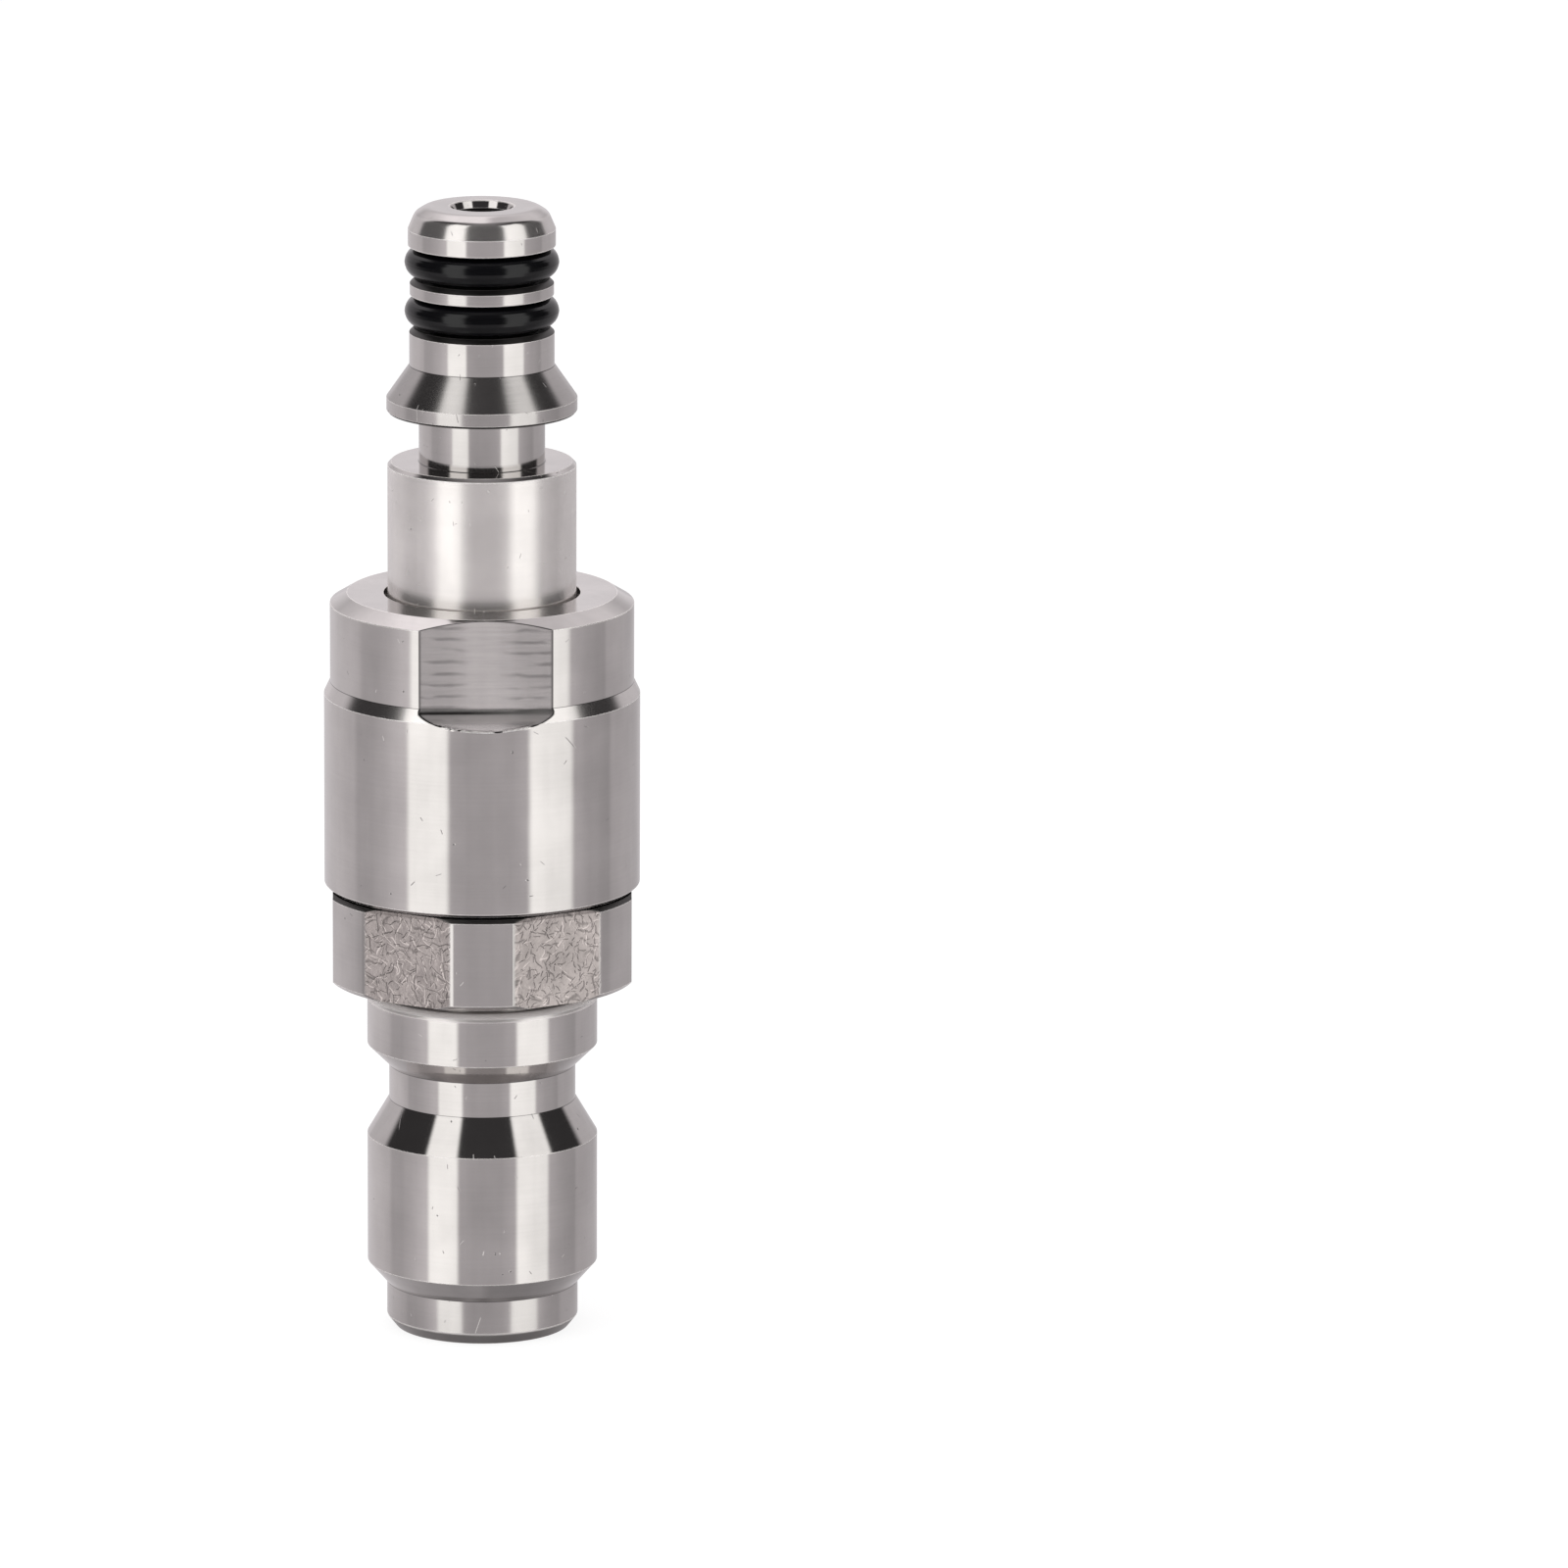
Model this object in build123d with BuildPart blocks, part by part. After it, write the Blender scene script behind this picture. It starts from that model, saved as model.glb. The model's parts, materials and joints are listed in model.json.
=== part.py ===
from build123d import *

import os
from math import asin, cos, floor, pi, radians, sin, tan

# High-pressure swivel coupling in turned stainless steel.
# A quick plug turns on one row of balls inside a housing, under a hexagonal gland nut.
# A nipple with two O-rings is screwed into the housing's port and carries the water in.
# Millimetres, +Z up. The origin is the centre of the plug's nose, and Z is the axis of every turned piece.

# Quick plug, from its nose upwards
plug_d = 19.0                   # latching barrel and collar
plug_tip_d = 15.8               # leading tip
plug_tip_h = 3.77               # tip, up to the foot of its cone
plug_rim_chamfer = 0.75         # radial
plug_rim_chamfer_h = 0.95
plug_tip_cone_h = 1.83
plug_barrel_h = 10.75
plug_latch_cone_h = 3.03        # slope that the coupler's locking balls press on
plug_neck_d = 15.4
plug_neck_h = 2.9
plug_collar_cone_h = 1.78
plug_collar_h = 4.49
plug_collar_chamfer = 0.45
outlet_bore_d = 9.5             # open nose of the plug
outlet_bore_depth = 15.0
outlet_cone_h = 0.75            # drill point between the nose bore and the waterway
outlet_mouth_chamfer = 0.3

# Spindle, one piece with the plug
spindle_d = 12.0
spindle_bore_d = 7.0            # waterway
spindle_end_gap = 0.4           # spindle's end below the roof of the seal chamber
spindle_end_chamfer = 0.5
running_fit = 0.06              # radial, between the spindle and what it turns in
seat_fit = 0.03                 # radial, between a piece and the seat that holds it

# Ball bearing
ball_d = 3.0
ball_gap = 0.05                 # least space between two balls
ball_fit = 0.05                 # radial, ball to raceway
ball_seat = 0.4                 # pitch circle outside the spindle's surface
race_cheek = 0.95               # race ring above and below its raceway
race_ring_entry = 0.35          # race rings pass the gland thread with this radial gap
lead_in = 0.3                   # chamfer on edges that enter a bore

# Gland nut
thrust_gap = 1.1                # open gap between the plug's collar and the nut
nut_af = 24.6                   # across flats
nut_corner_step = 0.02          # radial, turned corners inside the housing's diameter
nut_h = 7.64
nut_top_chamfer = 0.3
nut_bottom_chamfer = 0.38
gland_thread_d = 21.4           # mean diameter of an M22x1 thread
gland_thread_engaged = 4.71
gland_relief = 0.5              # undercut behind the thread, radial
gland_relief_h = 1.0
thread_fit = 0.05               # radial, between mating threads drawn plain
nut_gap = 0.2                   # open joint line between the nut and the housing

# Guide bush and dust wiper, inside the gland nut
bush_wall = 1.45
bush_recess = 0.2               # below the top of the nut's thread
bush_ledge_h = 1.5              # nut's ledge that the bush rests on
nut_bore_clearance = 0.3        # radial, nut's own bore to the spindle
wiper_section = 1.35            # radial
wiper_h = 1.8
wiper_groove_play = 0.2         # groove taller than the wiper
wiper_lip_h = 1.55              # nut's lip under the wiper

# High-pressure seal, between two backup rings
seal_section = 1.92             # round section as squeezed in its chamber
chamber_wall_gap = 2.0          # radial, spindle to chamber wall
seal_space_h = 2.0
backup_ring_h = 0.8

# Swivel housing
body_d = 26.0
body_top_d = 25.0
body_web_h = 2.0                # between the seal chamber and the port
port_thread_d = 16.0            # mean diameter of a G3/8 thread
port_depth = 9.2
port_mouth_chamfer = 0.25       # radial
port_mouth_chamfer_h = 0.5
body_top_chamfer = 1.4          # radial
body_top_chamfer_h = 0.84
body_taper_top = 7.36           # top face down to the taper
body_taper_h = 1.05
body_mouth_chamfer = 0.3        # outer edge beside the nut
flats_af = 22.5                 # across the two wrench flats
flats_h = 7.72                  # top face down to the run-out
flats_runout_angle = 35.5       # degrees below level, where the cutter leaves the work
flats_cut_w = 11.0              # width of the cut, which just spans the flat on the housing's top end
flats_corner_radius = 0.6       # between the flat and its run-out

# Inlet nipple, from its threaded end upwards
nipple_thread_h = 6.8
nipple_body_step = 0.25         # radial, plain body inside the thread's mean diameter
nipple_body_h = 12.37
nipple_edge_chamfer = 0.3
clip_neck_d = 10.35             # neck that the retaining clip grips
clip_neck_h = 4.16
collar_d = 15.65
collar_h = 1.22
collar_cone_h = 2.7
seal_shank_d = 11.9
seal_shank_h = 3.1
ring_land_d = 11.8              # land between the two O-ring grooves
ring_land_h = 1.35
ring_entry_chamfer = 0.4        # on the edge under each O-ring
ring_groove_root_d = 7.8
ring_groove_h = 2.72
tip_d = 12.1
tip_h = 3.25
tip_taper_angle = 27.5          # degrees from the axis
tip_taper_h = 1.62              # top face down to the foot of the taper
tip_round = 1.5                 # radius between the taper and the top face
inlet_bore_d = 5.0
inlet_mouth_chamfer = 0.35
o_ring_section = 2.4
washer_h = 1.0
washer_bore_gap = 1.5           # radial, washer's hole outside the nipple's bore

# Clocking of the nut, as screwed up
nut_turn = 1.6                  # degrees past the housing's flats

# Radii and levels that follow from the sizes above
plug_r = plug_d / 2
plug_tip_r = plug_tip_d / 2
plug_neck_r = plug_neck_d / 2
spindle_r = spindle_d / 2
spindle_bore_r = spindle_bore_d / 2
outlet_bore_r = outlet_bore_d / 2
guide_r = spindle_r + running_fit

race_r = ball_d / 2 + ball_fit
pitch_r = spindle_r + ball_seat
balls_per_row = floor(pi / asin((ball_d + ball_gap) / (2 * pitch_r)))
race_ring_h = race_r + race_cheek
gland_thread_r = gland_thread_d / 2
bearing_bore_r = gland_thread_r - race_ring_entry

tip_cone_z = plug_tip_h
barrel_z = tip_cone_z + plug_tip_cone_h
latch_cone_z = barrel_z + plug_barrel_h
neck_z = latch_cone_z + plug_latch_cone_h
collar_cone_z = neck_z + plug_neck_h
plug_collar_z = collar_cone_z + plug_collar_cone_h
plug_top_z = plug_collar_z + plug_collar_h

nut_z = plug_top_z + thrust_gap
nut_top_z = nut_z + nut_h
body_z = nut_top_z + nut_gap
gland_top_z = body_z + gland_thread_engaged
ball_z = gland_top_z + race_ring_h
chamber_z = ball_z + race_ring_h
chamber_r = spindle_r + chamber_wall_gap
seal_z = chamber_z + backup_ring_h
chamber_top_z = seal_z + seal_space_h + backup_ring_h
spindle_top_z = chamber_top_z - spindle_end_gap
port_floor_z = chamber_top_z + body_web_h
body_top_z = port_floor_z + port_depth
port_r = port_thread_d / 2

wiper_groove_z = nut_z + wiper_lip_h
wiper_groove_top_z = wiper_groove_z + wiper_h + wiper_groove_play
bush_z = wiper_groove_top_z + bush_ledge_h
bush_top_z = gland_top_z - bush_recess
bush_seat_r = guide_r + bush_wall + seat_fit
nut_bore_r = spindle_r + nut_bore_clearance
body_r = body_d / 2
body_top_r = body_top_d / 2
nut_corner_r = body_r - nut_corner_step

nipple_z = port_floor_z + washer_h
nipple_thread_r = port_r - thread_fit
nipple_body_r = port_r - nipple_body_step
nipple_body_z = nipple_z + nipple_thread_h
clip_neck_z = nipple_body_z + nipple_body_h
collar_z = clip_neck_z + clip_neck_h
collar_cone_top_z = collar_z + collar_h + collar_cone_h
rear_groove_z = collar_cone_top_z + seal_shank_h
ring_land_z = rear_groove_z + ring_groove_h
front_groove_z = ring_land_z + ring_land_h
tip_z = front_groove_z + ring_groove_h
nipple_top_z = tip_z + tip_h
inlet_bore_r = inlet_bore_d / 2
groove_root_r = ring_groove_root_d / 2

os.makedirs("parts", exist_ok=True)


def write(name, part):
    """Label a finished piece and write it as its own file."""
    part.label = name
    export_step(part, f"parts/{name}.step")


def round_ring(name, inner_r, section_d, middle_z):
    """A ring of round section, such as an O-ring."""
    with BuildPart() as ring:
        with BuildSketch(Plane.XZ):
            with Locations((inner_r + section_d / 2, middle_z)):
                Circle(section_d / 2)
        revolve(axis=Axis.Z)
    write(name, ring.part)


def flat_ring(name, inner_r, outer_r, bottom_z, height):
    """A ring of rectangular section, such as a washer or a bush."""
    with BuildPart(Plane.XY.offset(bottom_z)) as ring:
        Cylinder(outer_r, height, align=(Align.CENTER, Align.CENTER, Align.MIN))
        Cylinder(inner_r, height, align=(Align.CENTER, Align.CENTER, Align.MIN), mode=Mode.SUBTRACT)
    write(name, ring.part)


def race_ring(name, bottom_z):
    """A hardened ring with a quarter-round raceway at the corner that faces the balls."""
    with BuildPart() as ring:
        with BuildSketch(Plane.XZ):
            with Locations((guide_r, bottom_z)):
                Rectangle(
                    bearing_bore_r - seat_fit - guide_r,
                    race_ring_h,
                    align=(Align.MIN, Align.MIN),
                )
            with Locations((pitch_r, ball_z)):
                Circle(race_r, mode=Mode.SUBTRACT)
        revolve(axis=Axis.Z)
    write(name, ring.part)


# Quick plug: nose, latching barrel, neck and collar, turned in one piece with the spindle
with BuildPart() as quick_plug:
    with BuildSketch(Plane.XZ):
        with BuildLine():
            Polyline(
                (spindle_bore_r, spindle_top_z),
                (spindle_bore_r, outlet_bore_depth + outlet_cone_h),
                (outlet_bore_r, outlet_bore_depth),
                (outlet_bore_r, outlet_mouth_chamfer),
                (outlet_bore_r + outlet_mouth_chamfer, 0),
                (plug_tip_r - plug_rim_chamfer, 0),
                (plug_tip_r, plug_rim_chamfer_h),
                (plug_tip_r, tip_cone_z),
                (plug_r, barrel_z),
                (plug_r, latch_cone_z),
                (plug_neck_r, neck_z),
                (plug_neck_r, collar_cone_z),
                (plug_r, plug_collar_z),
                (plug_r, plug_top_z - plug_collar_chamfer),
                (plug_r - plug_collar_chamfer, plug_top_z),
                (spindle_r, plug_top_z),
                (spindle_r, spindle_top_z - spindle_end_chamfer),
                (spindle_r - spindle_end_chamfer, spindle_top_z),
                close=True,
            )
        make_face()
        with Locations((pitch_r, ball_z)):
            Circle(race_r, mode=Mode.SUBTRACT)
    revolve(axis=Axis.Z)
write("quick_plug", quick_plug.part)

# Balls: one full row between the spindle's groove and the two race rings
for ball_number in range(balls_per_row):
    ball_angle = 2 * pi * ball_number / balls_per_row
    with BuildPart() as ball:
        with Locations((pitch_r * cos(ball_angle), pitch_r * sin(ball_angle), ball_z)):
            Sphere(ball_d / 2)
    write(f"ball_{ball_number + 1:02d}", ball.part)

race_ring("lower_race_ring", gland_top_z)
race_ring("upper_race_ring", ball_z)

# Gland nut: turned hexagon below, threaded spigot above that clamps the race rings
with BuildPart() as gland_nut:
    with BuildSketch(Plane.XY.offset(nut_z)):
        RegularPolygon(nut_af / 2, 6, major_radius=False, rotation=30 - nut_turn)
    extrude(amount=nut_h)
    with BuildSketch(Plane.XZ):
        with BuildLine():
            Polyline(
                (0, nut_z),
                (nut_corner_r - nut_bottom_chamfer, nut_z),
                (nut_corner_r, nut_z + nut_bottom_chamfer),
                (nut_corner_r, nut_top_z - nut_top_chamfer),
                (nut_corner_r - nut_top_chamfer, nut_top_z),
                (0, nut_top_z),
                close=True,
            )
        make_face()
    revolve(axis=Axis.Z, mode=Mode.INTERSECT)
    with BuildSketch(Plane.XZ):
        with BuildLine():
            spigot_r = gland_thread_r - thread_fit
            Polyline(
                (0, nut_top_z),
                (spigot_r - gland_relief, nut_top_z),
                (spigot_r - gland_relief, nut_top_z + gland_relief_h),
                (spigot_r, nut_top_z + gland_relief_h + gland_relief),
                (spigot_r, gland_top_z - lead_in),
                (spigot_r - lead_in, gland_top_z),
                (0, gland_top_z),
                close=True,
            )
        make_face()
    revolve(axis=Axis.Z)
    with BuildSketch(Plane.XZ):
        with BuildLine():
            wiper_groove_r = guide_r + wiper_section + seat_fit
            Polyline(
                (0, nut_z),
                (nut_bore_r, nut_z),
                (nut_bore_r, wiper_groove_z),
                (wiper_groove_r, wiper_groove_z),
                (wiper_groove_r, wiper_groove_top_z),
                (nut_bore_r, wiper_groove_top_z),
                (nut_bore_r, bush_z),
                (bush_seat_r, bush_z),
                (bush_seat_r, gland_top_z),
                (0, gland_top_z),
                close=True,
            )
        make_face()
    revolve(axis=Axis.Z, mode=Mode.SUBTRACT)
write("gland_nut", gland_nut.part)

flat_ring("guide_bush", guide_r, guide_r + bush_wall, bush_z, bush_top_z - bush_z)
flat_ring("dust_wiper", guide_r, guide_r + wiper_section, wiper_groove_z, wiper_h)

# Seal stack in the housing's chamber
backup_outer_r = chamber_r - seat_fit
flat_ring("lower_backup_ring", guide_r, backup_outer_r, chamber_z, backup_ring_h)
flat_ring("upper_backup_ring", guide_r, backup_outer_r, seal_z + seal_space_h, backup_ring_h)
seal_inner_r = (spindle_r + chamber_r - seal_section) / 2
round_ring("spindle_seal_ring", seal_inner_r, seal_section, seal_z + seal_space_h / 2)

# Swivel housing: bearing bore and seal chamber below, threaded port above
with BuildPart() as swivel_body:
    with BuildSketch(Plane.XZ):
        with BuildLine():
            taper_top_z = body_top_z - body_taper_top
            Polyline(
                (gland_thread_r, body_z),
                (body_r - body_mouth_chamfer, body_z),
                (body_r, body_z + body_mouth_chamfer),
                (body_r, taper_top_z - body_taper_h),
                (body_top_r, taper_top_z),
                (body_top_r, body_top_z - body_top_chamfer_h),
                (body_top_r - body_top_chamfer, body_top_z),
                (port_r + port_mouth_chamfer, body_top_z),
                (port_r, body_top_z - port_mouth_chamfer_h),
                (port_r, port_floor_z),
                (spindle_bore_r, port_floor_z),
                (spindle_bore_r, chamber_top_z),
                (chamber_r, chamber_top_z),
                (chamber_r, chamber_z),
                (bearing_bore_r, chamber_z),
                (bearing_bore_r, gland_top_z),
                (gland_thread_r, gland_top_z),
                close=True,
            )
        make_face()
    revolve(axis=Axis.Z)
    # Both wrench flats, cut from the top and running out in a slope towards the barrel
    with BuildSketch(Plane.YZ) as flat_cut:
        with BuildLine():
            runout_z = body_top_z - flats_h
            runout_drop = body_r * tan(radians(flats_runout_angle))
            FilletPolyline(
                (flats_af / 2, body_top_z + body_top_chamfer),
                (flats_af / 2, runout_z),
                (flats_af / 2 + body_r, runout_z - runout_drop),
                (flats_af / 2 + body_r, body_top_z + body_top_chamfer),
                radius=(0, flats_corner_radius, 0, 0),
                close=True,
            )
        make_face()
        mirror(about=Plane.YZ)
    extrude(amount=flats_cut_w / 2, both=True, mode=Mode.SUBTRACT)
write("swivel_body", swivel_body.part)

# Port washer, clamped between the port's floor and the nipple's end
washer_inner_r = inlet_bore_r + washer_bore_gap
flat_ring("port_washer", washer_inner_r, port_r - seat_fit, port_floor_z, washer_h)

# Inlet nipple: thread, plain body, clip neck, collar with its cone, O-ring grooves and tip
with BuildPart() as inlet_nipple:
    with BuildSketch(Plane.XZ):
        with BuildLine():
            nipple_profile = [
                (tip_d / 2 - tip_taper_h * tan(radians(tip_taper_angle)), nipple_top_z),
                (tip_d / 2, nipple_top_z - tip_taper_h),
                (tip_d / 2, tip_z),
                (groove_root_r, tip_z),
                (groove_root_r, front_groove_z),
                (ring_land_d / 2 - ring_entry_chamfer, front_groove_z),
                (ring_land_d / 2, front_groove_z - ring_entry_chamfer),
                (ring_land_d / 2, ring_land_z),
                (groove_root_r, ring_land_z),
                (groove_root_r, rear_groove_z),
                (seal_shank_d / 2 - ring_entry_chamfer, rear_groove_z),
                (seal_shank_d / 2, rear_groove_z - ring_entry_chamfer),
                (seal_shank_d / 2, collar_cone_top_z),
                (collar_d / 2, collar_z + collar_h),
                (collar_d / 2, collar_z),
                (clip_neck_d / 2, collar_z),
                (clip_neck_d / 2, clip_neck_z),
                (nipple_body_r - nipple_edge_chamfer, clip_neck_z),
                (nipple_body_r, clip_neck_z - nipple_edge_chamfer),
                (nipple_body_r, nipple_body_z),
                (nipple_thread_r, nipple_body_z),
                (nipple_thread_r, nipple_z + lead_in),
                (nipple_thread_r - lead_in, nipple_z),
                (inlet_bore_r, nipple_z),
                (inlet_bore_r, nipple_top_z - inlet_mouth_chamfer),
                (inlet_bore_r + inlet_mouth_chamfer, nipple_top_z),
            ]
            rounds = [0] * len(nipple_profile)
            rounds[0] = tip_round
            FilletPolyline(*nipple_profile, radius=tuple(rounds), close=True)
        make_face()
    revolve(axis=Axis.Z)
write("inlet_nipple", inlet_nipple.part)

# O-rings, each in the middle of its groove
groove_middle = ring_groove_h / 2
o_ring_inner_r = groove_root_r + seat_fit
round_ring("rear_o_ring", o_ring_inner_r, o_ring_section, rear_groove_z + groove_middle)
round_ring("front_o_ring", o_ring_inner_r, o_ring_section, front_groove_z + groove_middle)
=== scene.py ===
# %% [markdown]
# # A high-pressure swivel coupling in turned stainless steel
# The real object is a hand-sized water fitting. Four steel pieces are seen from outside: a nipple with two
# O-rings, a housing with two wrench flats, a hexagonal gland nut and a quick plug. Inside are a ball
# bearing, a bronze bush and a seal stack.
# The construction model already holds every piece at its real size. This lesson dresses it. It turns finer
# versions of the outside pieces, with the broken edges and burrs that catch the light. It gives each surface
# the finish that the lathe, the mill or the drawing die left on it.

import json
from math import atan2, cos, pi, radians, sin, sqrt, tan

import bpy
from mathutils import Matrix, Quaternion, Vector


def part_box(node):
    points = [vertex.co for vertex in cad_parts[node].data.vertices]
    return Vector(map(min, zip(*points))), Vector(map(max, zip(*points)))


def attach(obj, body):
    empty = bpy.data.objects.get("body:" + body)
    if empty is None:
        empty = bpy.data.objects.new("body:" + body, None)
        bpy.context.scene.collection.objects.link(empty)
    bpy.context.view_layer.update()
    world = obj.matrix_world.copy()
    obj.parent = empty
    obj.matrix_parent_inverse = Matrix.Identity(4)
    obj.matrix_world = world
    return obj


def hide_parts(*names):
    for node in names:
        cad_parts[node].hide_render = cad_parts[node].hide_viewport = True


MM = 0.001
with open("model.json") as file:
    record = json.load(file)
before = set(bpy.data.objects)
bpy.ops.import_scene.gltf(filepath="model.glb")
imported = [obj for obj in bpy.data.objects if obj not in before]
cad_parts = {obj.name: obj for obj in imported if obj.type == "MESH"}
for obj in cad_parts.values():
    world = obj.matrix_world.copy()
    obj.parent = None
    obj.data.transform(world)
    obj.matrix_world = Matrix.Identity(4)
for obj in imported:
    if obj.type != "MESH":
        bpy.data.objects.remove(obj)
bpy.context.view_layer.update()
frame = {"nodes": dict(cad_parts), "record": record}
nodes = frame["nodes"]

# %% [markdown]
# ## Writing node trees in a few words
# Every finish and every turned form below is a node tree, and a few helpers keep them short. The first
# places a node and fills or links its inputs, the second does arithmetic, and the rest name what is used
# often.


# %% Helpers for node trees
def place(tree, kind, settings=None, inputs=None):
    """Add a node, set its properties, and fill or link its inputs by name or number."""
    node = tree.nodes.new(kind)
    for name, value in (settings or {}).items():
        setattr(node, name, value)
    for key, value in (inputs or {}).items():
        if isinstance(value, bpy.types.NodeSocket):
            tree.links.new(value, node.inputs[key])
        else:
            node.inputs[key].default_value = value
    return node


def calc(tree, operation, *values):
    """One step of arithmetic, as the output socket of a Math node."""
    return place(tree, "ShaderNodeMath", {"operation": operation}, dict(enumerate(values))).outputs[0]


def times(tree, first, second):
    """A product."""
    return calc(tree, "MULTIPLY", first, second)


def plus(tree, first, second):
    """A sum."""
    return calc(tree, "ADD", first, second)


def minus(tree, first, second):
    """A difference."""
    return calc(tree, "SUBTRACT", first, second)


def times_plus(tree, first, second, third):
    """A product with a third value added to it."""
    return calc(tree, "MULTIPLY_ADD", first, second, third)


def larger(tree, first, second):
    """The larger of two values."""
    return calc(tree, "MAXIMUM", first, second)


def ramp(tree, value, low, high, out_low=0.0, out_high=1.0):
    """A smooth step of a value from one level to another."""
    limits = {"Value": value, "From Min": low, "From Max": high, "To Min": out_low, "To Max": out_high}
    return place(tree, "ShaderNodeMapRange", {"interpolation_type": "SMOOTHSTEP"}, limits).outputs["Result"]


def between(tree, value, low, high, out_low=0.0, out_high=1.0):
    """A straight, clamped change of a value from one level to another."""
    limits = {"Value": value, "From Min": low, "From Max": high, "To Min": out_low, "To Max": out_high}
    return place(tree, "ShaderNodeMapRange", None, limits).outputs["Result"]


def stepped(tree, value, stops):
    """A level between 0 and 1 read from (position, level) stops, the first at 0 and the last at 1."""
    scale = place(tree, "ShaderNodeValToRGB", None, {0: value})
    elements = scale.color_ramp.elements
    for position, level in stops[1:-1]:
        elements.new(position)
    for element, (position, level) in zip(elements, stops):
        element.color = (level, level, level, 1)
    return scale.outputs[0]


def split(tree, vector):
    """A vector's three components, as the outputs of one node."""
    return place(tree, "ShaderNodeSeparateXYZ", None, {0: vector}).outputs


def joined(tree, x, y, z=0.0):
    """A vector from its components."""
    return place(tree, "ShaderNodeCombineXYZ", None, {"X": x, "Y": y, "Z": z}).outputs[0]


def vector_step(tree, operation, *values):
    """One step of vector arithmetic."""
    return place(tree, "ShaderNodeVectorMath", {"operation": operation}, dict(enumerate(values))).outputs[0]


def scaled(tree, vector, factor):
    """A vector or colour multiplied by one number."""
    inputs = {0: vector, "Scale": factor}
    return place(tree, "ShaderNodeVectorMath", {"operation": "SCALE"}, inputs).outputs[0]


def mixed(tree, factor, first, second):
    """Two colours mixed by a factor."""
    return place(tree, "ShaderNodeMix", {"data_type": "RGBA"}, {0: factor, 6: first, 7: second}).outputs[2]


def noise_over(tree, vector, scale, detail):
    """The node of a smooth noise over a position."""
    return place(tree, "ShaderNodeTexNoise", None, {"Vector": vector, "Scale": scale, "Detail": detail})


def stretched_noise(tree, vector, scales, detail):
    """Noise with its own scale along each axis."""
    return noise_over(tree, vector_step(tree, "MULTIPLY", vector, scales), 1.0, detail).outputs[0]


def own_position(tree):
    """The object's own coordinates."""
    return tree.nodes.new("ShaderNodeTexCoord").outputs["Object"]


def new_group(name, kind, inputs, outputs):
    """An empty node group with named sockets, and its input and output nodes."""
    tree = bpy.data.node_groups.new(name, kind)
    for socket_name, socket_kind, default in inputs:
        socket = tree.interface.new_socket(name=socket_name, in_out="INPUT", socket_type=socket_kind)
        if default is not None:
            socket.default_value = default
    for socket_name, socket_kind in outputs:
        tree.interface.new_socket(name=socket_name, in_out="OUTPUT", socket_type=socket_kind)
    return tree, tree.nodes.new("NodeGroupInput"), tree.nodes.new("NodeGroupOutput")


# %% [markdown]
# ## One tree that turns a profile
# On the real lathe, a tool follows a profile while the bar spins. A Spin or Screw modifier could do the
# same, but the housing also has milled flats and the nut is a hexagon. Both cuts should have small soft
# edges, and one has a burr. So one Geometry Nodes tree does it all. It lays out a grid, bends its columns
# round the axis and reads each row's radius and height from the profile. Then it trims the radius where a
# flat passes inside it. The columns crowd together on the flats, where the detail is, so that the mesh stays
# small.

# %% The turned form as a node tree
FLOAT = "NodeSocketFloat"
# The dark line round a flat, drawn by the next width, is painted shade
OUTLINE = 0.07 * MM             # half width of the dark line round a flat
LIP = 0.13 * MM                 # half width of the burr
BURR_ENDS = 3.4 * MM, 2.9 * MM  # the burr fades in between these distances from the flat's middle
TORN = 0.34, 0.40               # levels of the noise that tears the burr
CORNER_STEEPNESS = 6.0          # how fast the cut gives way beyond its half width
WELD = 0.002 * MM               # the grid's first and last columns and rows are joined
turned_form, form_in, form_out = new_group(
    "turned_form",
    "GeometryNodeTree",
    [
        ("Geometry", "NodeSocketGeometry", None),
        ("Segments", "NodeSocketInt", 256),
        ("Material", "NodeSocketMaterial", None),
        ("Flats", FLOAT, 1.0),
        ("Flat Distance", FLOAT, 1.0),
        ("Flat Phase", FLOAT, 0.0),
        ("Crowding", FLOAT, 1.0),
        ("Crowded Share", FLOAT, 0.7),
        ("Edge Softness", FLOAT, 0.1 * MM),
        ("Run-out Height", FLOAT, -1.0),
        ("Run-out Slope", FLOAT, 1.0),
        ("Run-out Softness", FLOAT, 0.3 * MM),
        ("Cut Half Width", FLOAT, 1.0),
        ("Burr", FLOAT, 0.0),
        ("Relief", FLOAT, 0.0),
        ("Relief Scale", FLOAT, 1500.0),
        ("Seed", FLOAT, 7.0),
    ],
    [("Geometry", "NodeSocketGeometry")],
)


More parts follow.
